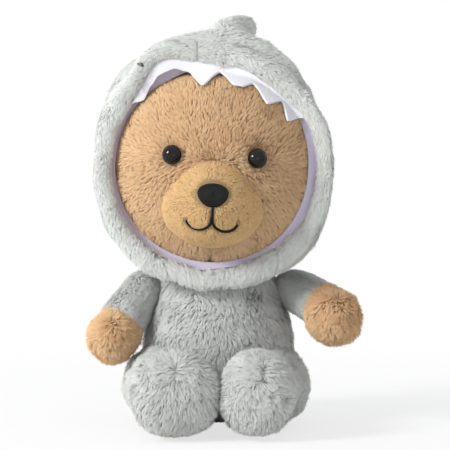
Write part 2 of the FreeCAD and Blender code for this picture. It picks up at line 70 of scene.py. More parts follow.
def middle(node):
    """The middle of a solid's box, in millimetres."""
    low, high = np.array(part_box(node))
    return (low + high) / 2 / MM


# Where the solids are. The head is shaped upright, and then rolled to the way that it leans.
TORSO_Y = 12.0
TORSO_MIDDLE = np.array((0, TORSO_Y, 60.0))
NECK = middle("neck_stuffing")
NECK_BALL_R = 44.0
HEAD_X = -3.5
HEAD = np.array((HEAD_X, -4.0, 185.0))
HEAD_HALF = np.array((75.0, 60.0, 74.0))
HEAD_ROLL = math.radians(2.5)
EYE_X, EYE_Z = 30.0, 12.5  # from the head's middle
HOOD = np.array((HEAD_X, 0.0, 193.0))
HOOD_HALF = np.array((87.0, 70.0, 92.5))
BRIM = np.array((HEAD_X, -28.0, 188.5))
BRIM_LEAN = 6.75  # how far the opening's top lies behind its middle
OPENING_R = 71.5
FLAP_AT = -29.0  # degrees around the opening, where the brim is folded up
MUZZLE = np.array((HEAD_X, -53.0, 162.5))
MUZZLE_HALF = np.array((35.0, 28.0, 29.5))
NOSE_Z = 172.0
MOUTH_Z = 150.0
SHOULDER = {side: middle(f"shoulder_stuffing_{side}") for side in SIDES}
HIP = {side: middle(f"hip_stuffing_{side}") for side in SIDES}
ARM_WAY = {"left": np.array((-21.0, -24.0, -31.5)), "right": np.array((31.0, -31.0, -14.0))}
LEG_WAY = {side: middle(f"sole_{side}") - HIP[side] for side in SIDES}
PAW_AT = 46.0  # from the shoulder
GROUND = 0.3  # the lowest that pile reaches


# Numbers in bulk


def unit(vectors):
    return vectors / np.maximum(np.linalg.norm(vectors, axis=-1, keepdims=True), 1e-9)


def across_from(vectors, up):
    """Unit vectors at right angles to others, in the plane of both."""
    return unit(vectors - up * (vectors * up).sum(axis=1, keepdims=True))


def ease(low, high, values):
    """0 below low, 1 above high and a smooth step between them."""
    share = np.clip((values - low) / (high - low), 0, 1)
    return share * share * (3 - 2 * share)


def bump(values, centre, width):
    """A soft hump that is 1 at its centre."""
    return np.exp(-(((values - centre) / width) ** 2))


def turn_gap(angles, centre):
    """Degrees from a centre angle, the short way round."""
    return (angles - centre + 180) % 360 - 180


def near(angles, centre, width):
    """A soft hump around an angle."""
    return bump(turn_gap(angles, centre), 0, width)


def drift(points, size, seed, cells=24):
    """Smooth random vectors, from -1 to 1, that change over about this size."""
    table = np.random.default_rng(seed).uniform(-1, 1, (cells, cells, cells, 3))
    place = points / size
    cell = np.floor(place).astype(int)
    share = place - cell
    share = share * share * (3 - 2 * share)
    total = np.zeros(points.shape)
    for corner in np.ndindex(2, 2, 2):
        weight = np.prod(np.where(corner, share, 1 - share), axis=1)
        x, y, z = ((cell + corner) % cells).T
        total += weight[:, None] * table[x, y, z]
    return total


def lumps(points, size, seed):
    """One smooth random number for each point, as a column."""
    return drift(points, size, seed)[:, :1]


def through(knots, share):
    """Points on a smooth curve through knots; each knot's numbers may differ per point."""
    count = len(share)
    knots = np.array([[np.broadcast_to(c, count) for c in knot] for knot in knots])
    knots = knots.transpose(0, 2, 1)
    last = len(knots) - 1
    first = np.clip((share * last).astype(int), 0, last - 1)
    t = (share * last - first)[:, None]
    rows = np.arange(count)
    before, start = knots[np.maximum(first - 1, 0), rows], knots[first, rows]
    end, after = knots[first + 1, rows], knots[np.minimum(first + 2, last), rows]
    return start + t / 2 * (
        end - before
        + t * (2 * before - 5 * start + 4 * end - after + t * (3 * start - before - 3 * end + after))
    )


def frame_along(way):
    """Three axes as columns: across, up-ish and along a direction that isn't upright."""
    along = unit(way)
    across = unit(np.cross((0, 0, 1.0), along))
    return np.stack([across, np.cross(along, across), along], axis=1)


def beside(points, origin, along):
    """How far points lie along a line, and the ways that lead from the line to them."""
    reach = (points - origin) @ along
    return reach, unit(points - origin - reach[:, None] * along)


def ahead(u, tilt):
    """Unit vectors around the way ahead: u is the turn about it and tilt the angle from it."""
    turn = u * TURN
    return np.stack([np.sin(tilt) * np.cos(turn), -np.cos(tilt), np.sin(tilt) * np.sin(turn)], axis=1)


def turned(points, angle):
    """Points turned sideways about the head's middle."""
    c, s = math.cos(angle), math.sin(angle)
    moved = points - HEAD
    x, z = moved[:, 0] * c + moved[:, 2] * s, moved[:, 2] * c - moved[:, 0] * s
    return np.stack([x, moved[:, 1], z], axis=1) + HEAD


def rolled(points):
    return turned(points, HEAD_ROLL)


def unrolled(points):
    return turned(points, -HEAD_ROLL)


# Materials

PILE_MAP = "OFBake"  # the map that holds a blade's tone across and root to tip up
BLADE_GLOW = 0.38  # share of the light that passes through a blade of pile


def shade(colour, gain):
    return tuple(min(1.0, max(0.0, channel * gain)) for channel in colour)


class Value:
    """A socket whose sums and products add Math nodes."""

    def __init__(self, finish, socket):
        self.finish = finish
        self.socket = socket

    def math(self, operation, other):
        return self.finish.add("Math", {"operation": operation}, self, other)

    def __add__(self, other):
        return self.math("ADD", other)

    def __mul__(self, other):
        return self.math("MULTIPLY", other)

    __radd__ = __add__
    __rmul__ = __mul__


class Finish:
    """A material or a world, and the one way that its nodes are made."""

    def __init__(self, name, store="materials"):
        self.owner = getattr(bpy.data, store).new(name)
        self.owner.use_nodes = True
        self.tree = self.owner.node_tree
        self.tree.nodes.clear()

    def feed(self, socket, value):
        """Links a value to a socket, or sets the socket's own number or colour."""
        if isinstance(value, Value):
            self.tree.links.new(value.socket, socket)
        elif socket.type == "RGBA":
            socket.default_value = (*value, 1)
        else:
            socket.default_value = value

    def add(self, kind, settings=None, *values, output=0, **named):
        """A node with its settings first and then its sockets, by place or by name."""
        node = self.tree.nodes.new("ShaderNode" + kind)
        for key, value in (settings or {}).items():
            if key == "stops":
                self.set_stops(node.color_ramp, value)
            else:
                setattr(node, key, value)
        for place, value in enumerate(values):
            self.feed(node.inputs[place], value)
        for name, value in named.items():
            self.feed(node.inputs[name.replace("_", " ")], value)
        return Value(self, node.outputs[output]) if len(node.outputs) else None

    def set_stops(self, ramp, stops):
        while len(ramp.elements) < len(stops):
            ramp.elements.new(0.5)
        for element, (place, colour) in zip(ramp.elements, stops):
            element.position = place
            element.color = (*colour, 1)

    def shown(self, shader):
        """Ends a material with its shader, and returns it."""
        self.add("OutputMaterial", None, shader)
        return self.owner

    def surface(self, **sockets):
        """Ends a material with one Principled surface, and returns it."""
        return self.shown(self.add("BsdfPrincipled", None, **sockets))

    def object_place(self):
        return self.add("TexCoord", None, output="Object")

    def noise(self, scale, detail=3.0):
        return self.add("TexNoise", None, Vector=self.object_place(), Scale=scale, Detail=detail)

    def bands(self, direction, scale, distortion):
        settings = {"bands_direction": direction}
        place = self.object_place()
        return self.add("TexWave", settings, Vector=place, Scale=scale, Distortion=distortion)

    def blend(self, share, first, second, mode="MIX"):
        """A colour between two, or one laid over the other."""
        mixed = self.add("Mix", {"data_type": "RGBA", "blend_type": mode}, share, output=2)
        colour_sockets = mixed.socket.node.inputs[6:8]
        for socket, value in zip(colour_sockets, (first, second)):
            self.feed(socket, value)
        return mixed

    def relief(self, height, strength, distance):
        return self.add("Bump", None, Height=height, Strength=strength, Distance=distance)


def fur_finish(name, root, tip):
    """Pile: darker at the root, which is painted shade deep in the pile, and pale at the tip, with lighter
    and darker locks.
    """
    finish = Finish(name)
    place = finish.add("UVMap", {"uv_map": PILE_MAP})
    tone = finish.add("SeparateXYZ", None, place, output="X")
    height = finish.add("SeparateXYZ", None, place, output="Y")
    halfway = tuple(a * 0.45 + b * 0.55 for a, b in zip(root, tip))
    # the ramp darkens towards the root: painted shade in the depth of the pile
    root_shade_stops = [(0.0, root), (0.3, halfway), (0.75, tip), (1.0, shade(tip, 1.06))]
    lock_stops = [(0.05, (0.86, 0.85, 0.84)), (0.5, (0.95, 0.95, 0.95)), (0.95, (1, 1, 1))]
    blade = finish.add("ValToRGB", {"stops": root_shade_stops}, height)
    locks = finish.add("ValToRGB", {"stops": lock_stops}, tone)
    colour = finish.blend(1.0, blade, locks, "MULTIPLY")
    pile = finish.add("BsdfPrincipled", None, Base_Color=colour, Roughness=0.9, Specular_IOR_Level=0.0)
    glow = finish.add("BsdfTranslucent", None, Color=shade(tip, 1.1))
    return finish.shown(finish.add("MixShader", None, BLADE_GLOW, pile, glow))


def fur(name):
    """One of the four kinds of pile, made once. The hood's pile is the grey pile made lighter at root and
    tip, which is painted light: it makes the hood render brighter than the body.
    """
    tints = colours()
    root, tip = {
        # the root colours are darker than the tips: painted shade in the depth of the pile
        "grey_pile": (tints.grey_root_painted_shade, tints.grey_tip),
        # painted light: a lighter copy of the grey pile for the hood
        "hood_pile": (shade(tints.grey_root_painted_shade, 1.2), shade(tints.grey_tip, 1.1)),
        "tan_pile": (tints.tan_root_painted_shade, tints.tan_tip),
        # the cream root, at less than half the tip's colour, is painted shade too
        "cream_pile": (shade(tints.cream, 0.42), tints.cream),
    }[name]
    return bpy.data.materials.get(name) or fur_finish(name, root, tip)


def felt_finish(colour):
    finish = Finish("white_felt")
    fibres = finish.noise(900.0, 6.0)
    cloud = finish.noise(90.0, 2.0)
    mixed = finish.blend(fibres * 0.6 + cloud * 0.3, shade(colour, 0.86), colour)
    return finish.surface(
        Base_Color=mixed, Roughness=0.95, Sheen_Weight=0.3, Specular_IOR_Level=0.2,
        Normal=finish.relief(fibres, 0.5, 0.0004),
    )


def lining_finish(colour):
    """A fine knit."""
    finish = Finish("lavender_lining")
    knit = finish.bands("X", 320.0, 1.5) * finish.bands("Z", 320.0, 1.5)
    mixed = finish.blend(knit * 0.5 + finish.noise(60.0) * 0.4, shade(colour, 0.82), colour)
    return finish.surface(
        Base_Color=mixed, Roughness=0.75, Sheen_Weight=0.3, Specular_IOR_Level=0.3,
        Normal=finish.relief(knit, 0.4, 0.0003),
    )


def thread_finish(colour):
    """Satin stitch: parallel threads that shine along their length."""
    finish = Finish("black_thread")
    threads = finish.bands("X", 700.0, 0.6)
    mixed = finish.blend(threads, shade(colour, 0.5), shade(colour, 1.4))
    return finish.surface(
        Base_Color=mixed, Roughness=threads * -0.15 + 0.6, Specular_IOR_Level=0.2,
        Normal=finish.relief(threads, 0.7, 0.0003),
    )


def eye_finish(colour):
    """Polished plastic with a faint brown depth."""
    finish = Finish("polished_eye")
    depth = finish.noise(60.0, 1.0)
    mixed = finish.blend(depth, colour, shade(colour, 1.5))
    return finish.surface(
        Base_Color=mixed, Roughness=depth * 0.04 + 0.05, Coat_Weight=0.1, Coat_Roughness=0.02,
        Specular_IOR_Level=0.2,
    )


def filling_finish(name, colour, scale):
    """Fibre filling and the washers inside."""
    finish = Finish(name)
    cloud = finish.noise(scale, 5.0)
    mixed = finish.blend(cloud, shade(colour, 0.8), colour)
    return finish.surface(
        Base_Color=mixed, Roughness=cloud * 0.2 + 0.75, Normal=finish.relief(cloud, 0.6, 0.001)
    )


# Skins

SEAM_GAP = 0.01  # edges and poles that lie this near each other are joined


def wrapped(around, along, place, towards=None):
    """A bmesh grid rolled into a skin, whose outside faces away from its middle or one way."""
    bm = bmesh.new()
    bmesh.ops.create_grid(bm, x_segments=around, y_segments=along, size=0.5)
    shares = np.array([vert.co[:2] for vert in bm.verts]) + 0.5
    for vert, point in zip(bm.verts, place(shares[:, 0], shares[:, 1])):
        vert.co = point
    bmesh.ops.remove_doubles(bm, verts=bm.verts, dist=SEAM_GAP)
    bmesh.ops.recalc_face_normals(bm, faces=bm.faces)
    centre = sum((vert.co for vert in bm.verts), Vector()) / len(bm.verts)
    facing = sum(
        face.calc_area() * face.normal.dot(Vector(towards or face.calc_center_median() - centre))
        for face in bm.faces
    )
    if facing < 0:
        bmesh.ops.reverse_faces(bm, faces=bm.faces)
    return bm


def spun(profile, u, v, axes, origin):
    """Points of a form of revolution: profile knots of radius and height, on given axes."""
    radius, height = through(profile, v).T
    turn = u * TURN
    local = np.stack([radius * np.cos(turn), radius * np.sin(turn), height], axis=1)
    return local @ axes.T + origin


def arrays_of(bm):
    """A skin's points, normals, triangles and faces as arrays."""
    bm.verts.index_update()
    bm.normal_update()
    points = np.array([vert.co for vert in bm.verts])
    normals = np.array([vert.normal for vert in bm.verts])
    triangles = np.array([[loop.vert.index for loop in tri] for tri in bm.calc_loop_triangles()])
    faces = [[vert.index for vert in face.verts] for face in bm.faces]
    return points, normals, triangles, faces


BLADE_FACES = (0, 1, 3, 2, 2, 3, 4)  # a blade's five points as a quad with a triangle on top
BLADE_SIDES = np.array((-1, 1, -1, 1, 0))  # the side of the blade that each point is on
BLADE_HEIGHTS = (0.07, 0.07, 0.5, 0.5, 0.97)
ROOT_DEPTH = 0.4  # of a blade's foot in the skin


@dataclass
class Pile:
    """How the pile of one panel grows."""

    count: int
    length: float
    width: float
    flow: callable  # the way that it is combed, from points and normals
    lean: float = 0.9
    keep: callable = None  # how densely it grows, from points and normals
    trim: callable = None  # its share of the full length, from points
    wave: float = 0.45  # how far the combing strays
    clump: float = 0.35  # how far tips are drawn together
    swirl: float = 14.0  # the size of a stray tuft
    lock: int = 14  # blades in a lock
    seed: int = 1

    def roots(self, points, normals, triangles, rng):
        """Where blades grow, spread evenly over a skin, and the skin's normals there."""
        corners = points[triangles]
        area = np.linalg.norm(
            np.cross(corners[:, 1] - corners[:, 0], corners[:, 2] - corners[:, 0]), axis=1
        )
        if self.keep is not None:
            area = area * self.keep(corners.mean(axis=1), unit(normals[triangles].mean(axis=1)))
        count = int(self.count * (1))
        steps = np.cumsum(area)
        picked = np.searchsorted(steps, rng.random(count) * steps[-1])
        shares = rng.random((count, 2))
        over = shares.sum(axis=1) > 1
        shares[over] = 1 - shares[over]
        weights = np.stack([1 - shares.sum(axis=1), shares[:, 0], shares[:, 1]], axis=1)[:, :, None]
        roots = (points[triangles[picked]] * weights).sum(axis=1)
        return roots, unit((normals[triangles[picked]] * weights).sum(axis=1))

    def leaders(self, roots):
        """The number of locks, and the nearest lock's first blade for each blade."""
        count = max(1, len(roots) // self.lock)
        tree = KDTree(count)
        for index in range(count):
            tree.insert(roots[index], index)
        tree.balance()
        return count, np.array([tree.find(root)[1] for root in roots])

    def grow(self, points, normals, triangles):
        """Five points, five normals and a tone for each blade."""
        rng = np.random.default_rng(self.seed)
        roots, up = self.roots(points, normals, triangles, rng)
        count = len(roots)
        stir = drift(roots, self.swirl, self.seed) + 0.6 * drift(roots, self.swirl / 2.6, self.seed + 1)
        scatter = rng.normal(0, 0.22, (count, 3))
        combed = across_from(self.flow(roots, up), up)
        way = across_from(combed + self.wave * stir + scatter, up)
        length = self.length * rng.uniform(0.72, 1.12, count)
        if self.trim is not None:
            length = length * self.trim(roots)
        lean = self.lean * (1 + 0.25 * stir[:, :1]) + rng.normal(0, 0.06, (count, 1))
        lean = np.clip(lean, 0.05, 1.15)
        # a blade has two stretches, of which the outer one leans more
        half = length[:, None] / 2
        first = roots - up * ROOT_DEPTH
        second = first + unit(up + way * 0.8 * lean) * half
        third = second + unit(up * (1.05 - 0.8 * lean) + way * 1.2 * lean) * half
        # in a lock, blades lean on the tip of its first one
        locks, lead = self.leaders(roots)
        pull = self.clump * rng.uniform(0.5, 1.2, (count, 1))
        third = third + (third[lead] - third) * pull
        second = second + (second[lead] - second) * pull * 0.45
        along = unit(third - second)
        roll = rng.uniform(-0.3, 0.3, (count, 1))
        side = unit(np.cross(along, up) + up * roll)
        width = self.width * rng.uniform(0.8, 1.2, (count, 1)) * 1
        root_side, bend_side = side * width / 2, side * width * 0.42
        blade = np.stack(
            [first - root_side, first + root_side, second - bend_side, second + bend_side, third], axis=1
        )
        # normals between the blade's own and the skin's, which round it a little
        facing = unit(up - along * (along * up).sum(axis=1, keepdims=True) * 0.6)
        soft = unit(facing + side * rng.normal(0, 0.15, (count, 1)))
        shine = soft[:, None] + 0.2 * side[:, None] * BLADE_SIDES[:, None]
        lock_tone = rng.random(locks)[lead]
        cloud = drift(roots, self.swirl * 0.7, self.seed + 2)[:, 0]
        tone = 0.5 + 0.22 * (lock_tone - 0.5) + 0.3 * cloud + rng.normal(0, 0.1, count)
        return blade, unit(shine), np.clip(tone, 0.03, 0.97)


def mesh_of(name, bm, pile, floor):
    """One mesh of a skin and its pile, which stays above a floor."""
    points, normals, triangles, faces = arrays_of(bm)
    bm.free()
    blades, shine, tone = pile.grow(points, normals, triangles)
    blades[:, :, 2] = np.maximum(blades[:, :, 2], floor)
    count = len(blades)
    all_points = np.concatenate([points, blades.reshape(-1, 3)]) * MM
    blade_loops = len(points) + np.arange(count)[:, None] * len(BLADE_SIDES) + np.array(BLADE_FACES)
    loops = np.concatenate([np.concatenate(faces), blade_loops.ravel()])
    corners = np.concatenate([[len(face) for face in faces], np.tile([4, 3], count)])
    starts = np.cumsum(corners) - corners
    mesh = bpy.data.meshes.new(name)
    mesh.vertices.add(len(all_points))
    mesh.vertices.foreach_set("co", all_points.astype(np.float32).ravel())
    mesh.loops.add(len(loops))
    mesh.loops.foreach_set("vertex_index", loops.astype(np.int32))
    mesh.polygons.add(len(corners))
    mesh.polygons.foreach_set("loop_start", starts.astype(np.int32))
    mesh.update(calc_edges=True)
    # in the map, the skin lies in a thin strip below the roots, where it takes the dark root colour, which
    # is painted shade
    low, high = points.min(axis=0), points.max(axis=0)
    strip = np.array((0.8, 0, 0.03)) * (points - low) / (high - low) + (0.1, 0, 0.005)
    across = tone[:, None] + 0.006 * BLADE_SIDES
    u = np.concatenate([strip[:, 0], across.ravel()])[loops]
    v = np.concatenate([strip[:, 2], np.tile(BLADE_HEIGHTS, count)])[loops]
    layer = mesh.uv_layers.new(name=PILE_MAP)
    layer.data.foreach_set("uv", np.stack([u, v], axis=1).astype(np.float32).ravel())
    mesh.polygons.foreach_set("use_smooth", np.ones(len(corners), bool))
    mesh.normals_split_custom_set_from_vertices(np.concatenate([normals, shine.reshape(-1, 3)]))
    return mesh


def placed(mesh, material, body, nodes):
    """Links a piece, gives it its finish, attaches it to its body and hides the solids that it stands for.
    """
    piece = bpy.data.objects.new(mesh.name, mesh)
    bpy.context.scene.collection.objects.link(piece)
    mesh.materials.append(material)
    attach(piece, body)
    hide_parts(*nodes)


def plush(name, skin, pile, kind, body, nodes, floor=-math.inf):
    """A stuffed piece: its skin with the pile on it, and the kind of fur."""
    placed(mesh_of(name, skin, pile, floor), fur(kind), body, nodes)


def smooth(name, bm, material, nodes):
    """A piece of the head that has no pile."""
    bmesh.ops.transform(bm, matrix=Matrix.Scale(MM, 4), verts=bm.verts)
    mesh = bpy.data.meshes.new(name)
    bm.to_mesh(mesh)
    bm.free()
    mesh.shade_smooth()
    placed(mesh, material, "head", nodes)


def away_from(centre, droop):
    """Pile that radiates from a point and hangs a little."""
    def flow(points, normals):
        return unit(points - centre) + (0, 0, -droop)
    return flow


# Torso

TORSO_PROFILE = (
    (0, 0.6), (31, 0.6), (46.5, 14), (50.5, 34), (52.5, 56), (49, 77), (42, 94), (33, 117), (17, 130),
    (0, 133),
)


def torso_points(u, v):
    points = spun(TORSO_PROFILE, u, v, np.eye(3), TORSO_MIDDLE * (1, 1, 0))
    out = unit(points - TORSO_MIDDLE)
    # the seat rests further back, so its front edge is off the ground
    points[:, 2] += 8.5 * ease(6, -14, points[:, 1]) * ease(24, 4, points[:, 2])
    return points + out * lumps(points, 26.0, 5) * 1.2 * ease(0, 12, points[:, 2])[:, None]


def torso_keep(points, normals):
    """No pile under the collar or in the hips, and little under the seat."""
    keep = 1 - ease(112, 120, points[:, 2])
    for side in SIDES:
        way = unit(LEG_WAY[side])
        moved = points - HIP[side]
        off = moved - (moved @ way)[:, None] * way
        inside = (np.linalg.norm(off, axis=1) < 17) & (moved @ way > -8)
        keep = keep * np.where(inside, 0.05, 1)
    return keep * np.where(normals[:, 2] < -0.8, 0.4, 1)


def torso_flow(points, normals):
    """Combed down, and a little outwards."""
    return 0.25 * (points - TORSO_MIDDLE) * (1, 0, 0) / 50 + (0, -0.15, -1.0)


def ground_trim(points):
    """Shorter near the ground."""
    return 0.35 + 0.65 * ease(1, 16, points[:, 2])


# Legs

LEG_PROFILE = (
    (0, -26.5), (13, -23.6), (22.6, -14), (26.4, -1), (24.6, 12), (22, 28), (22, 46), (24.5, 62), (25.2, 74),
    (22.5, 83), (13, 88.5), (0, 90),
)


def leg_points(side):
    axes = frame_along(LEG_WAY[side])
    outwards = OUTWARDS[side]

    def place(u, v):
        points = spun(LEG_PROFILE, u, v, axes, HIP[side])
        along, out = beside(points, HIP[side], axes[:, 2])
        # the thigh is fuller on its outer side, and the cover creases behind the foot
        swell = 2.5 * bump(along, 20, 18) * ease(-0.2, 0.8, out[:, 0] * outwards + out[:, 2] * 0.4)
        crease = -1.6 * bump(along, 52, 5) * ease(0.0, 0.7, out[:, 2])
        points = points + out * (swell + crease)[:, None]
        points = points + lumps(points, 17.0, 11 + outwards) * out * 1.3
        foot = ease(30, 60, along)
        points[:, 2] *= 1 + 0.09 * foot
        if side == "right":
            points[:, 0] -= 0.12 * points[:, 0] * foot
        else:  # its inner side is full and leans on the other foot
            points[:, 0] += 3.8 * foot * ease(0.1, 0.9, out[:, 0])
        points[:, 2] = np.maximum(points[:, 2], 1.2)
        return points

    return place


def leg_keep(side):
    """Little pile on the leg's root, which is inside the torso."""
    way = unit(LEG_WAY[side])

    def keep(points, normals):
        return 0.1 + 0.9 * ease(-24, -12, (points - HIP[side]) @ way)

    return keep


# Arms

SLEEVE_PROFILE = (
    (0, -11), (7, -8.5), (11, -2), (12.3, 6), (13.2, 15), (14, 24), (14.6, 30.5), (13.6, 33), (11, 33.5),
)
PAW_PROFILE = (
    (0, 27.5), (9.5, 29.5), (13.5, 33.5), (15.8, 39), (16.4, 46), (15.4, 53), (12, 58.5), (6.5, 61.5),
    (0, 62.5),
)
PAW_SIZE = {"left": 0.88, "right": 0.94}
PAW_DROOP = {"left": (2.0, 0, 1.5), "right": (-2.5, 0, -3.0)}  # how far the paw bends from the sleeve's line


def sleeve_points(side):
    axes = frame_along(ARM_WAY[side])

    def place(u, v):
        points = spun(SLEEVE_PROFILE, u, v, axes, SHOULDER[side])
        _, out = beside(points, SHOULDER[side], axes[:, 2])
        return points + out * lumps(points, 13.0, 21) * 0.9

    return place


def sleeve_flow(side):
    """Combed down, and back from the paw."""
    way = (0, 0, -0.9) - unit(ARM_WAY[side]) * 0.4
    return lambda points, normals: np.tile(way, (len(points), 1))


def paw_centre(side):
    return SHOULDER[side] + unit(ARM_WAY[side]) * PAW_AT


def paw_points(side):
    axes = frame_along(ARM_WAY[side])
    profile = [(radius * PAW_SIZE[side], height) for radius, height in PAW_PROFILE]

    def place(u, v):
        points = spun(profile, u, v, axes, SHOULDER[side])
        out = unit(points - paw_centre(side))
        far = ease(30, 44, (points - SHOULDER[side]) @ axes[:, 2])[:, None]
        return points + out * lumps(points, 12.0, 31) * 0.8 + far * PAW_DROOP[side]

    return place


def paw_keep(side):
    """No pile where the paw is inside its sleeve."""
    way = unit(ARM_WAY[side])
    return lambda points, normals: ease(30, 33, (points - SHOULDER[side]) @ way)


# Head

SMILE_R = 8.8  # of the curve on each side of the mouth
SMILE_GAP = 0.4  # from the middle line to where the curves meet it
SMILE_Z = MOUTH_Z + 4.6
EYE_PROFILE = (
    (0, 6.2), (2.1, 5.9), (4.1, 5.0), (5.7, 3.5), (6.7, 1.7), (7.0, 0.3), (6.6, -0.6), (2.2, -0.8),
    (2.0, -8.0), (0, -9.5),
)


def mirrored(values, centre, width):
    """Two soft humps, one on each side of 0."""
    return bump(values, centre, width) + bump(values, -centre, width)


def face_points(u, v):
    """The stuffed head, dimpled at the eyes and drawn in at the chin seam."""
    normal = ahead(u, v * math.pi)
    points = HEAD + normal * (HEAD_HALF - 3.2)
    across, height = points[:, 0] - HEAD[0], points[:, 2] - HEAD[2]
    front = ease(0, 30, HEAD[1] - points[:, 1])
    sink = 1.6 * mirrored(across, EYE_X, 8) * bump(height, EYE_Z, 8)
    sink = sink + 1.2 * bump(across, 0, 1.6) * ease(-40, -50, height)
    cheeks = 1.5 * mirrored(across, 40, 16) * bump(height, -22, 20)
    points = points + normal * ((cheeks - sink) * front)[:, None]
    return rolled(points + normal * lumps(points, 24.0, 41) * 0.8)


def face_keep(points, normals):
    """Pile only where the hood's opening shows the face."""
    upright = unrolled(points)
    across, up = upright[:, 0] - BRIM[0], upright[:, 2] - BRIM[2]
    beyond = np.hypot(across, up) - face_edge(np.degrees(np.arctan2(across, up)))
    covered = np.linalg.norm((upright - MUZZLE) / (MUZZLE_HALF * 0.9), axis=1) < 1
    return (points[:, 1] < -8) * (1 - ease(0.5, 6, beyond)) * np.where(covered, 0, 1)


def face_flow(points, normals):
    """Down over the cheeks, and up and out over the forehead."""
    upright = unrolled(points) - MUZZLE
    forehead = ease(18, 45, upright[:, 2])[:, None]
    cheek = upright * (0.02, 0, 0) + (0, 0, -1)
    brow = upright * (0.012, 0, 0) + (0, 0, 0.8)
    return cheek * (1 - forehead) + brow * forehead


def face_trim(points):
    """Shorter beside the chin seam, around the eyes and under the teeth."""
    upright = unrolled(points) - HEAD
    trim = 1 - 0.5 * bump(upright[:, 0], 0, 2.5) * ease(-38, -46, upright[:, 2])
    for outwards in OUTWARDS.values():
        gap = np.hypot(upright[:, 0] - outwards * EYE_X, upright[:, 2] - EYE_Z)
        trim = trim * (0.4 + 0.6 * ease(6.5, 11, gap))
    return trim * (1 - 0.35 * ease(58, 66, upright[:, 2]))


def muzzle_points(u, v):
    """A stuffed oval that is narrower above the nose than at the mouth."""
    normal = ahead(u, v * math.pi * 0.72)
    points = normal * (MUZZLE_HALF - 1.0)
    height = points[:, 2] / MUZZLE_HALF[2]
    points[:, 0] *= 1.02 - 0.15 * ease(-0.1, 1.0, height) + 0.02 * bump(height, -0.35, 0.3)
    points[:, 2] *= 1.0 + 0.14 * ease(0.0, 1.0, height)
    points[:, 1] -= 1.5 * bump(height, 0.15, 0.4) * ease(18, 6, np.abs(points[:, 0]))
    return rolled(points + MUZZLE + normal * lumps(points, 16.0, 51) * 0.4)


def muzzle_keep(points, normals):
    """No pile where the muzzle is sewn to the face."""
    return (normals[:, 1] < 0.35) * 1.0


def muzzle_flow(points, normals):
    """Away from a point in front of the nose."""
    return (unrolled(points) - MUZZLE - (0, -20, 10)) * (1, 0.3, 1)


def muzzle_trim(points):
    """Shorter along the mouth, the line above it and the nose, which lie in the pile."""
    upright = unrolled(points) - (MUZZLE[0], 0, SMILE_Z)
    across, height = np.abs(upright[:, 0]), upright[:, 2]
    smile = np.abs(np.hypot(across - SMILE_R - SMILE_GAP, height * 1.19) - SMILE_R) + 10 * (height > 1.5)
    line = across + 10 * ((height < -1) | (height > 14))
    nose = 1 + 12 * (np.hypot(across / 12, (height + MOUTH_Z + 4.0 - NOSE_Z) / 9) - 1)
    return 0.25 + 0.75 * ease(1.0, 2.8, np.minimum(np.minimum(smile, line), nose))


def on_surface(tree, x, z):
    """The first point of a skin behind a place in front of it, with its normal."""
    start = rolled(np.array([[x, -200.0, z]]))[0]
    spot, normal, _, _ = tree.ray_cast(Vector(start), Vector((0, 1, 0)))
    if spot is None:
        raise RuntimeError(f"nothing lies behind {x}, {z}")
    return np.array(spot), np.array(normal)


def nose_points(tree):
    """A padded patch of satin stitch, wide above and narrower below, inside a raised outline."""
    def place(u, v):
        x, z = np.cos(u * TURN), np.sin(u * TURN)
        wide = 11.4 * (1 - 0.16 * ease(0.2, -1, z)) * np.abs(x) ** 0.92 * np.sign(x)
        tall = np.where(z > 0, 7.6, 9.4) * np.abs(z) ** 0.95 * np.sign(z)
        rise = 2.2 * (1 - v**4) + 0.5 * bump(v, 0.86, 0.07)
        rise = rise + 0.16 * np.sin(wide * v * TURN / 0.75) * (1 - ease(0.78, 0.86, v))
        points = []
        for across, up, lift in zip(wide * v, tall * v, rise):
            spot, normal = on_surface(tree, MUZZLE[0] + across, NOSE_Z + 0.6 + up)
            points.append(spot + normal * (lift - 0.3))
        return np.array(points)

    return place


def stitched_line(bm, tree, places, radius):
    """A thick thread that lies on the muzzle along some places."""
    spots = [on_surface(tree, x, z) for x, z in places]
    centres = [spot + normal * radius * 0.7 for spot, normal in spots]
    last = len(centres) - 1
    rings = []
    for index, (centre, (_, normal)) in enumerate(zip(centres, spots)):
        way = unit(centres[min(index + 1, last)] - centres[max(index - 1, 0)])
        thick = radius * {0: 0.55, 1: 0.9}.get(min(index, last - index), 1.0)
        thick *= 1.0 + 0.07 * (-1) ** index
        matrix = Matrix((unit(np.cross(way, normal)), normal, way)).transposed().to_4x4()
        matrix.translation = Vector(centre)
        made = bmesh.ops.create_circle(bm, segments=10, radius=thick, matrix=matrix)
        rings.append(made["verts"])
    for first, second in zip(rings, rings[1:]):
        edges = {edge for ring in (first, second) for vert in ring for edge in vert.link_edges
                 if all(other in ring for other in edge.verts)}
        bmesh.ops.bridge_loops(bm, edges=list(edges))
    for ring in (rings[0], rings[-1]):
        bmesh.ops.contextual_create(bm, geom=ring)


def eye_spot(side):
    """Where a safety eye meets the face, and the way that it looks."""
    share = np.array((OUTWARDS[side] * EYE_X / HEAD_HALF[0], 0, EYE_Z / HEAD_HALF[2]))
    share[1] = -math.sqrt(1 - share[0] ** 2 - share[2] ** 2)
    point = HEAD + share * HEAD_HALF
    here, out = rolled(np.array([point, point + unit(share / HEAD_HALF)]))
    return here, out - here


# Hood

HOOD_INSET = 3.0  # of the pile's backing from the hood's outside
SEAM_SHARE = 6 / 15  # of the section, where the brim's band ends in its crease


def lip(angle):
    """Radius of the face opening: a circle, with a flap folded up over the left brow."""
    flap = 10.0 * near(angle, FLAP_AT, 13) - 3.5 * near(angle, 33, 20)
    gather = 1.5 * near(angle, 184, 8) - 3.0 * near(angle, 175, 30)
    return OPENING_R + 1.0 + flap + gather


def lip_depth(angle):
    return BRIM[1] + BRIM_LEAN * np.cos(np.radians(angle))


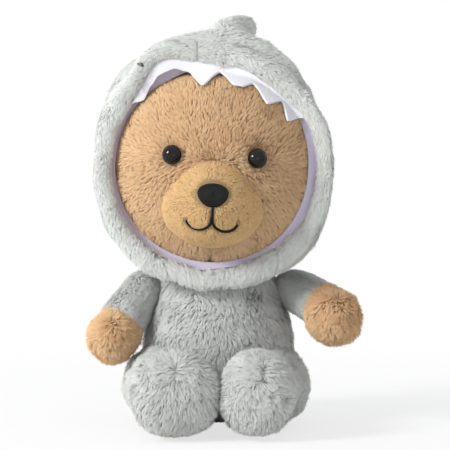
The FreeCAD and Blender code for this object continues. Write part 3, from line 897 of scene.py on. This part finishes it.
def face_edge(angle):
    """Radius where the lining meets the face, further in on the right and under the chin."""
    flap = 1.5 * near(angle, FLAP_AT, 20)
    return 71.2 - flap - 3.8 * near(angle, 95, 45) - 2.8 * near(angle, 180, 45)


def hood_radius(angle):
    """Half-size of the hood around its middle; its right side sags from the brow to the shoulder."""
    turn = np.radians(angle)
    wide, _, tall = HOOD_HALF - HOOD_INSET
    oval = 1 / np.sqrt((np.sin(turn) / wide) ** 2 + (np.cos(turn) / tall) ** 2)
    left = 1.5 * near(angle, -52, 14) + 1.8 * near(angle, -122, 25)
    right = 4.5 * near(angle, 133, 21) - 6.0 * near(angle, 58, 32)
    return oval + left + right - 8.0 * near(angle, 180, 28)


def around_head(angle, radius, depth, centre_z):
    """Points by their angle from the top, their distance from the middle and their depth."""
    turn = np.radians(angle)
    return np.stack([HEAD_X + radius * np.sin(turn), depth, centre_z + radius * np.cos(turn)], axis=1)


def hood_section(angle, share):
    """Radius and depth of the hood's cloth, from inside the lip (0) to the back (1)."""
    low = lip(angle)
    full = hood_radius(angle)
    depth = lip_depth(angle)
    brow = ease(88, 55, np.abs(turn_gap(angle, 0)))
    left_fold = near(angle, -34, 22)
    right_fold = near(angle, 40, 20)
    band = np.minimum(low + 13.5, full - 1.0)
    valley = full - 1.5 - brow * (3.5 + 1.5 * left_fold + 3.0 * right_fold)
    valley = np.maximum(valley, low + 9)
    crown = full - 0.3 + brow * (0.8 + 1.8 * right_fold)
    knots = (
        (low + 3.5, depth + 14), (low + 1.0, depth + 4), (low + 1.8, depth - 2.4),
        (low + 6.0, depth - 4.4), (low + 11.0, depth - 3.4), (band, depth + 2),
        (valley, depth + 8.5), (crown, depth + 14.5), (full, 2),
        (full * 0.963, 18), (full * 0.862, 34), (full * 0.698, 48), (full * 0.5, 58),
        (full * 0.296, 64), (full * 0.12, 66.6), (0, 67),
    )
    return through(knots, share).T


def hood_points(first, last, start, end):
    """A panel of the hood between two angles and two shares of its section."""
    def place(u, v):
        angle = first + u * (last - first)
        share = start + v * (end - start)
        radius, depth = hood_section(angle, share)
        centre_z = BRIM[2] + (HOOD[2] - BRIM[2]) * ease(BRIM[1], 0, depth)
        points = around_head(angle, radius, depth, centre_z)
        out = unit(points - HOOD)
        crown = ease(35, 75, points[:, 2] - HOOD[2])[:, None]
        folds = lumps(points, 24.0, 61) * 1.6 + lumps(points, 9.0, 62) * 0.6
        folds = folds + lumps(points * (0.3, 1, 1), 9.0, 63) * 2.0 * crown
        points = rolled(points + out * folds * ease(0.02, 0.12, share)[:, None])
        # the hood's floor lies on the ball of the neck
        off = points - NECK
        reach = np.linalg.norm(off, axis=1, keepdims=True)
        return NECK + off * np.maximum(1, (NECK_BALL_R + 1.2) / np.maximum(reach, 1e-6))

    return place


def hood_keep(points, normals):
    """No pile where the hood lies on the neck."""
    reach = np.linalg.norm(points - NECK, axis=1)
    return ease(NECK_BALL_R + 1.4, NECK_BALL_R + 2.6, reach)


def brim_keep(points, normals):
    """No pile inside the lip either."""
    upright = unrolled(points)
    inwards = -(normals[:, 0] * (upright[:, 0] - BRIM[0]) + normals[:, 2] * (upright[:, 2] - BRIM[2]))
    return hood_keep(points, normals) * (1 - ease(45, 66, inwards))


def hood_flow(points, normals):
    """Back and out over the crown, and down at the sides and at the back."""
    moved = points - HOOD
    out = np.sign(moved[:, 0]) * ease(0, 20, np.abs(moved[:, 0]))
    crown = ease(30, 80, moved[:, 2])
    return np.stack([out * (0.3 + 0.9 * crown), 0.5 * crown, -1.0 + 0.6 * crown], axis=1)


def brim_flow(points, normals):
    """Down at the sides and the chin, and sideways over the brow, where it is crushed."""
    moved = points - BRIM
    brow = ease(35, 66, moved[:, 2])
    side = np.sign(moved[:, 0] + 12)
    return np.stack([side * brow, 0.35 * brow, -1 + 0.75 * brow], axis=1)


def brim_trim(points):
    """Longer at the chin."""
    return 0.8 + 0.45 * ease(-40, -65, points[:, 2] - BRIM[2])


def face_depth(x, z):
    """Depth of the stuffed head at a place that is measured from the middle of the opening."""
    x_share = (x + BRIM[0] - HEAD[0]) / HEAD_HALF[0]
    z_share = (z + BRIM[2] - HEAD[2]) / HEAD_HALF[2]
    return HEAD[1] - HEAD_HALF[1] * np.sqrt(np.maximum(1 - (x_share**2 + z_share**2), 0.0))


def lining_points(u, v):
    """The smooth inner side of the brim, from its lip back to the head."""
    angle = -180 + 360 * u
    low, edge, depth = lip(angle), face_edge(angle), lip_depth(angle)
    turn = np.radians(angle)
    face = face_depth(edge * np.sin(turn), edge * np.cos(turn))
    inner = np.minimum(depth + 2, face - 2.2)
    knots = (
        (low + 2.0, depth - 3.2), (low + 0.2, depth - 1.5),
        (edge * 0.4 + low * 0.6, (depth + inner) / 2 - 0.6), (edge, inner),
        (edge - 0.9, inner + 1.0), (edge, inner + 4), (edge + 5, inner + 16),
    )
    radius, depth = through(knots, v).T
    points = around_head(angle, radius, depth, BRIM[2])
    return rolled(points + drift(points, 14.0, 71) * 0.5)


# Notches and tips of the teeth: degrees around the opening, and distance from its middle
TEETH = (
    (-58, 76), (-49, 68.5), (-40, 72.5), (-34, 75.3), (-25, 74.8), (-19, 70), (-10.5, 59.2), (1.2, 67.2),
    (11, 60.4), (17, 61.2), (22.5, 65.2), (37, 59.2), (43.5, 67), (55, 62), (60, 74),
)
FELT = 1.3


def teeth_edge(angle):
    """Distance of the felt's lower edge from the middle of the opening."""
    places, reach = np.array(TEETH, float).T
    after = np.clip(np.searchsorted(places, angle), 1, len(places) - 1)
    share = (angle - places[after - 1]) / (places[after] - places[after - 1])
    soft = 0.3 * share + 0.7 * ease(0, 1, share)
    return reach[after - 1] + (reach[after] - reach[after - 1]) * soft


def teeth_points(u, v):
    """Felt that comes out from under the brow and lies on the forehead."""
    angle = TEETH[0][0] + u * (TEETH[-1][0] - TEETH[0][0])
    turn = np.radians(angle)
    tuck = lip(angle) + 3.5
    radius = tuck + (np.minimum(teeth_edge(angle), tuck - 0.5) - tuck) * v
    front = lip_depth(angle) - 3.8 + 3.0 * ease(0.5, 3.5, radius - lip(angle))
    forehead = face_depth(radius * np.sin(turn), radius * np.cos(turn)) - 3.0 - 1.2 * v
    depth = np.minimum(forehead, front) + 0.5 * np.sin(turn * 15) * v
    return rolled(around_head(angle, radius, depth, BRIM[2]))


# Fin

FIN_TILT = math.radians(38)  # of the blade, back from upright
FIN_LEAN = math.radians(36)  # of the blade, to its side


def fin_axes():
    """The fin's root and its axes: across, along the hinge and up the blade."""
    joint = next(joint for joint in frame["joints"] if joint["name"] == "fin_flop")
    along = unit(np.array(joint["axis"]))
    up = unit(np.array((0.0, math.sin(FIN_TILT), math.cos(FIN_TILT))))
    up = unit(up - along * (up @ along))
    leaned = up * math.cos(FIN_LEAN) + np.cross(along, up) * math.sin(FIN_LEAN)
    axes = np.stack([np.cross(along, leaned), along, leaned], axis=1)
    return np.array(joint["pos_m"]) / MM + (6.0, 0, 0), axes


def fin_points(u, v):
    """A soft triangular fin, thick at its root and rounded at its tip."""
    origin, axes = fin_axes()
    turn, tilt = u * TURN, v * math.pi
    height = -np.cos(tilt)
    above = ease(-0.1, 1.0, height)
    x = np.sin(tilt) * np.cos(turn) * 14.5 * (1 - 0.35 * above)
    y = np.sin(tilt) * np.sin(turn) * 19.0 * (1 - 0.12 * above) + 4.0 * above
    z = np.where(height > 0, height * 27.0, height * 10.5)
    local = np.stack([x, y, z], axis=1)
    return local @ axes.T + origin + drift(local, 12.0, 81) * 0.7


# Properties, operators and panel


def number(name, description, default, unit):
    return FloatProperty(name=name, description=description, default=default, unit=unit)


def tint(name, description, default):
    return FloatVectorProperty(name=name, description=description, default=default, subtype="COLOR")


class BearSizes(bpy.types.PropertyGroup):
    """Lengths of the pile on each kind of plush, and the lamps' power."""

    body_pile: number("Body pile", "Long grey pile of the body", 0.0092, "LENGTH")
    hood_pile: number("Hood pile", "Shorter grey pile of the hood", 0.0066, "LENGTH")
    face_pile: number("Face pile", "Tan pile of the face", 0.0056, "LENGTH")
    paw_pile: number("Paw pile", "Tan pile of the paws", 0.0078, "LENGTH")
    muzzle_pile: number("Muzzle pile", "Short cream pile", 0.0026, "LENGTH")
    key_power: number("Key lamp", "Power of the large soft lamp", 92.0, "POWER")
    fill_power: number("Fill lamp", "Power of the low lamp in front", 5.0, "POWER")


class BearColours(bpy.types.PropertyGroup):
    """Colours of the fabrics and of the hard parts."""

    grey_tip: tint("Grey tips", "Grey pile at its tips", (0.775, 0.785, 0.765))
    # the root tints are painted shade: darker than the fibre, standing for the shade deep in the pile
    grey_root_painted_shade: tint("Grey roots", "Grey pile at its roots", (0.60, 0.61, 0.595))
    tan_tip: tint("Tan tips", "Tan pile at its tips", (0.86, 0.65, 0.415))
    tan_root_painted_shade: tint("Tan roots", "Tan pile at its roots", (0.50, 0.335, 0.205))
    cream: tint("Muzzle", "Short cream pile", (0.88, 0.65, 0.355))
    lavender: tint("Lining", "Hood lining", (0.62, 0.575, 0.72))
    felt: tint("Felt", "Felt of the teeth", (0.84, 0.84, 0.88))
    black: tint("Black", "Thread and eyes", (0.005, 0.0045, 0.0045))
    filling: tint("Filling", "Fibre filling", (0.85, 0.85, 0.84))
    washer: tint("Washers", "Washers behind the eyes", (0.8, 0.8, 0.8))


def sizes():
    return bpy.context.scene.bear_sizes


def colours():
    return bpy.context.scene.bear_colours


class BEAR_OT_torso(bpy.types.Operator):
    """Makes the torso with its long grey pile"""

    bl_idname = "bear.torso"
    bl_label = "Torso"

    def execute(self, context):
        pile = Pile(
            count=60000, length=sizes().body_pile / MM * 0.76, width=0.8, flow=torso_flow, lean=0.85,
            keep=torso_keep, trim=ground_trim, wave=0.9, clump=0.4, swirl=12.0, lock=10, seed=101,
        )
        nodes = ("torso_front", "torso_back", "seat_panel", "torso_stuffing", "pellet_pouch")
        skin = wrapped(97, 61, torso_points)
        plush("torso_plush", skin, pile, "grey_pile", "torso", nodes, floor=GROUND)
        return {"FINISHED"}


class BEAR_OT_legs(bpy.types.Operator):
    """Makes the two legs, whose pile radiates from the front of each foot"""

    bl_idname = "bear.legs"
    bl_label = "Legs"

    def execute(self, context):
        for place, side in enumerate(SIDES):
            foot = HIP[side] + unit(LEG_WAY[side]) * 85 + (0, 0, 14.0)
            pile = Pile(
                count=62000, length=sizes().body_pile / MM * 0.9, width=0.8, flow=away_from(foot, 0.9),
                lean=0.75, keep=leg_keep(side), trim=ground_trim, wave=1.3, clump=0.5, swirl=9.0,
                lock=10, seed=111 + place,
            )
            nodes = (f"leg_cover_{side}", f"sole_{side}", f"leg_stuffing_{side}")
            skin, name = wrapped(65, 53, leg_points(side)), f"leg_plush_{side}"
            plush(name, skin, pile, "grey_pile", f"leg_{side}", nodes, floor=GROUND)
        return {"FINISHED"}


class BEAR_OT_arms(bpy.types.Operator):
    """Makes the sleeves and the tan paws"""

    bl_idname = "bear.arms"
    bl_label = "Arms"

    def execute(self, context):
        for place, side in enumerate(SIDES):
            body = f"arm_{side}"
            pile = Pile(
                count=24000, length=sizes().body_pile / MM * 0.62, width=0.75, flow=sleeve_flow(side),
                wave=0.5, clump=0.45, swirl=12.0, seed=121 + place,
            )
            nodes = (f"sleeve_{side}", f"cuff_{side}", f"arm_stuffing_{side}")
            skin, name = wrapped(49, 33, sleeve_points(side)), f"sleeve_plush_{side}"
            plush(name, skin, pile, "grey_pile", body, nodes)
            pile = Pile(
                count=19000, length=sizes().paw_pile / MM, width=0.72,
                flow=away_from(paw_centre(side) + (0, -8, 6), 0.6), lean=0.7, keep=paw_keep(side),
                wave=1.2, clump=0.55, swirl=7.0, lock=9, seed=131 + place,
            )
            skin, name = wrapped(49, 37, paw_points(side)), f"paw_plush_{side}"
            plush(name, skin, pile, "tan_pile", body, (f"paw_{side}",))
        return {"FINISHED"}


class BEAR_OT_face(bpy.types.Operator):
    """Makes the stuffed head, the muzzle, the nose, the mouth and the two eyes"""

    bl_idname = "bear.face"
    bl_label = "Face"

    def execute(self, context):
        pile = Pile(
            count=58000, length=sizes().face_pile / MM, width=0.6, flow=face_flow, lean=0.55,
            keep=face_keep, trim=face_trim, wave=0.7, clump=0.6, swirl=8.0, lock=8, seed=141,
        )
        nodes = ("face_left", "face_right", "head_back", "head_stuffing")
        skin = wrapped(129, 81, face_points)
        plush("face_plush", skin, pile, "tan_pile", "head", nodes)
        pile = Pile(
            count=46000, length=sizes().muzzle_pile / MM, width=0.5, flow=muzzle_flow, lean=0.7,
            keep=muzzle_keep, trim=muzzle_trim, wave=0.6, clump=0.6, swirl=6.0, lock=7, seed=151,
        )
        nodes = ("muzzle_cover", "muzzle_stuffing")
        skin = wrapped(97, 49, muzzle_points)
        tree = BVHTree.FromBMesh(skin)
        plush("muzzle_plush", skin, pile, "cream_pile", "head", nodes)
        thread = thread_finish(colours().black)
        smooth("nose_satin", wrapped(65, 33, nose_points(tree)), thread, ("nose",))
        self.mouth(tree, thread)
        self.eyes()
        return {"FINISHED"}

    def mouth(self, tree, thread):
        """A line down from the nose, and a smile on each side of it."""
        x = MUZZLE[0]
        bm = bmesh.new()
        philtrum = [(x + 0.15, z) for z in np.linspace(NOSE_Z - 8.0, MOUTH_Z + 5.0, 12)]
        stitched_line(bm, tree, philtrum, radius=0.9)
        for outwards in OUTWARDS.values():
            smile = []
            for share in np.linspace(0, 1, 22):
                swing = math.radians(-15 + 182 * share)
                along = outwards * (SMILE_R - SMILE_R * math.cos(swing) + SMILE_GAP)
                smile.append((x + along, SMILE_Z - 7.4 * math.sin(swing) - 0.05 * along))
            stitched_line(bm, tree, smile, radius=0.85)
        bmesh.ops.recalc_face_normals(bm, faces=bm.faces)
        smooth("mouth_thread", bm, thread, ("mouth",))

    def eyes(self):
        glossy = eye_finish(colours().black)
        for side in SIDES:
            point, normal = eye_spot(side)
            axes = frame_along(normal)
            dome = wrapped(65, 73, lambda u, v: spun(EYE_PROFILE, u, v, axes, point))
            smooth(f"eye_dome_{side}", dome, glossy, (f"eye_{side}",))


class BEAR_OT_hood(bpy.types.Operator):
    """Makes the hood's two side panels, its brim, its lining and the shark's bead eyes"""

    bl_idname = "bear.hood"
    bl_label = "Hood"

    def execute(self, context):
        length = sizes().hood_pile / MM
        panels = (
            ("left", -180, 0, ("hood_left", "hood_padding"), 161), ("right", 0, 180, ("hood_right",), 162)
        )
        for side, first, last, nodes, seed in panels:
            pile = Pile(
                count=60000, length=length, width=0.72, flow=hood_flow, lean=1.0, keep=hood_keep,
                wave=0.5, clump=0.25, seed=seed,
            )
            skin = wrapped(91, 71, hood_points(first, last, SEAM_SHARE - 0.02, 1.0))
            plush(f"hood_plush_{side}", skin, pile, "hood_pile", "head", nodes)
        pile = Pile(
            count=60000, length=length, width=0.72, flow=brim_flow, lean=1.0, keep=brim_keep,
            trim=brim_trim, wave=0.6, clump=0.3, swirl=12.0, seed=171,
        )
        skin = wrapped(181, 37, hood_points(-180, 180, 0.0, SEAM_SHARE), FORWARDS)
        plush("brim_plush", skin, pile, "hood_pile", "head", ("hood_brim",))
        knit = lining_finish(colours().lavender)
        band = wrapped(181, 17, lining_points, FORWARDS)
        smooth("hood_lining_band", band, knit, ("hood_lining",))
        glossy = bpy.data.materials["polished_eye"]
        for side, lift in (("left", 2.5), ("right", -9.0)):
            spot = middle(f"shark_eye_{side}")
            spot += unit(spot - HOOD) * lift
            bm = bmesh.new()
            bmesh.ops.create_uvsphere(
                bm, u_segments=28, v_segments=18, radius=3.4, matrix=Matrix.Translation(Vector(spot))
            )
            smooth(f"bead_eye_{side}", bm, glossy, (f"shark_eye_{side}",))
        return {"FINISHED"}


class BEAR_OT_teeth(bpy.types.Operator):
    """Makes the felt strip with the shark's teeth"""

    bl_idname = "bear.teeth"
    bl_label = "Teeth"

    def execute(self, context):
        bm = wrapped(249, 13, teeth_points, FORWARDS)
        bmesh.ops.solidify(bm, geom=bm.faces, thickness=FELT)
        bmesh.ops.recalc_face_normals(bm, faces=bm.faces)
        smooth("felt_teeth", bm, felt_finish(colours().felt), ("tooth_strip",))
        return {"FINISHED"}


class BEAR_OT_fin(bpy.types.Operator):
    """Makes the stuffed dorsal fin"""

    bl_idname = "bear.fin"
    bl_label = "Fin"

    def execute(self, context):
        pile = Pile(
            count=15000, length=sizes().hood_pile / MM, width=0.72, flow=hood_flow, lean=0.95,
            wave=0.5, clump=0.45, swirl=9.0, seed=181,
        )
        nodes = ("fin_cover", "fin_stuffing")
        skin = wrapped(57, 45, fin_points)
        plush("fin_plush", skin, pile, "hood_pile", "fin", nodes)
        return {"FINISHED"}


class BEAR_OT_filling(bpy.types.Operator):
    """Gives the hidden wads of filling and the washers their finish"""

    bl_idname = "bear.filling"
    bl_label = "Filling"

    def execute(self, context):
        fibre = filling_finish("fibre_filling", colours().filling, 120.0)
        washer = filling_finish("washer_plastic", colours().washer, 300.0)
        for name, node in frame["nodes"].items():
            if not node.hide_render:
                node.data.materials.clear()
                node.data.materials.append(washer if "washer" in name else fibre)
        return {"FINISHED"}


AIM = Vector((0.0043, 0.0, 0.1443))  # what the lamps and the camera point at, in metres
CAMERA_AWAY = 2.3
CAMERA_RISE = math.radians(5)
CAMERA_LENS = 255.6
FLOOR_R = 6.0
WHITE = (1, 1, 1)
SKY = (0.96, 0.975, 1.0)
SKY_STRENGTH = 0.62


def aimed(name, data, place):
    """Puts a lamp or a camera in its place, turned towards the toy."""
    item = bpy.data.objects.new(name, data)
    bpy.context.scene.collection.objects.link(item)
    item.location = place
    item.rotation_euler = (AIM - Vector(place)).to_track_quat("-Z", "Y").to_euler()
    return item


class BEAR_OT_stage(bpy.types.Operator):
    """Sets the floor, the lamps, the sky and the camera"""

    bl_idname = "bear.stage"
    bl_label = "Stage"

    def execute(self, context):
        self.floor()
        self.sky()
        self.lamp("key_lamp", (-2.4, -1.5, 1.55), size=1.0, power=sizes().key_power)
        self.lamp("fill_lamp", (0.5, -2.3, 0.12), size=1.4, power=sizes().fill_power)
        camera = bpy.data.cameras.new("portrait_camera")
        camera.lens = CAMERA_LENS
        camera.clip_end = 20
        back = Vector((0, -math.cos(CAMERA_RISE), math.sin(CAMERA_RISE)))
        context.scene.camera = aimed("portrait_camera", camera, AIM + back * CAMERA_AWAY)
        context.scene.view_settings.view_transform = "Standard"
        return {"FINISHED"}

    def lamp(self, name, place, size, power):
        light = bpy.data.lights.new(name, "AREA")
        light.shape = "DISK"
        light.size = size
        light.energy = power
        aimed(name, light, place)

    def floor(self):
        """A pale floor that fades to white around the toy for the camera, and keeps its shadow."""
        bm = bmesh.new()
        bmesh.ops.create_circle(bm, cap_ends=True, segments=96, radius=FLOOR_R)
        mesh = bpy.data.meshes.new("studio_floor")
        bm.to_mesh(mesh)
        bm.free()
        finish = Finish("studio_floor")
        seen = finish.add("LightPath", output="Is Camera Ray")
        reach = finish.add("VectorMath", {"operation": "LENGTH"}, finish.object_place(), output="Value")
        smoothly = {"interpolation_type": "SMOOTHSTEP"}
        fade = finish.add(
            "MapRange", smoothly, Value=reach, From_Min=0.1, From_Max=0.55, To_Min=0.72, To_Max=1.0
        )
        diffuse = finish.add("BsdfDiffuse", None, (0.9, 0.9, 0.9))
        glow = finish.add("Emission", None, WHITE, 1.0)
        mesh.materials.append(finish.shown(finish.add("MixShader", None, seen * fade, diffuse, glow)))
        floor = bpy.data.objects.new("studio_floor", mesh)
        bpy.context.scene.collection.objects.link(floor)

    def sky(self):
        """Plain light on the toy, and white for the camera and for what glossy and clear things show."""
        finish = Finish("studio_sky", "worlds")
        seen = finish.add("LightPath", output="Is Camera Ray")
        for ray in ("Is Glossy Ray", "Is Transmission Ray"):
            seen = seen.math("MAXIMUM", finish.add("LightPath", output=ray))
        light = finish.add("Background", None, SKY, SKY_STRENGTH)
        white = finish.add("Background", None, WHITE, 1.0)
        finish.add("OutputWorld", None, finish.add("MixShader", None, seen, light, white))
        bpy.context.scene.world = finish.owner


OPERATORS = (
    BEAR_OT_torso, BEAR_OT_legs, BEAR_OT_arms, BEAR_OT_face, BEAR_OT_hood, BEAR_OT_teeth,
    BEAR_OT_fin, BEAR_OT_filling, BEAR_OT_stage,
)


class BEAR_PT_panel(bpy.types.Panel):
    """Lists the bear's pieces in the sidebar"""

    bl_idname = "BEAR_PT_panel"
    bl_label = "Costume Bear"
    bl_space_type = "VIEW_3D"
    bl_region_type = "UI"
    bl_category = "Costume Bear"

    def draw(self, context):
        for operator in OPERATORS:
            self.layout.operator(operator.bl_idname)
        for group in (context.scene.bear_sizes, context.scene.bear_colours):
            for name in group.__annotations__:
                self.layout.prop(group, name)


CLASSES = (BearSizes, BearColours, *OPERATORS, BEAR_PT_panel)


def register():
    for item in CLASSES:
        bpy.utils.register_class(item)
    bpy.types.Scene.bear_sizes = PointerProperty(type=BearSizes)
    bpy.types.Scene.bear_colours = PointerProperty(type=BearColours)


def unregister():
    del bpy.types.Scene.bear_colours
    del bpy.types.Scene.bear_sizes
    for item in reversed(CLASSES):
        bpy.utils.unregister_class(item)


def main():
    register()
    for operator in OPERATORS:
        group, name = operator.bl_idname.split(".")
        getattr(getattr(bpy.ops, group), name)()


if __name__ == "__main__":
    main()
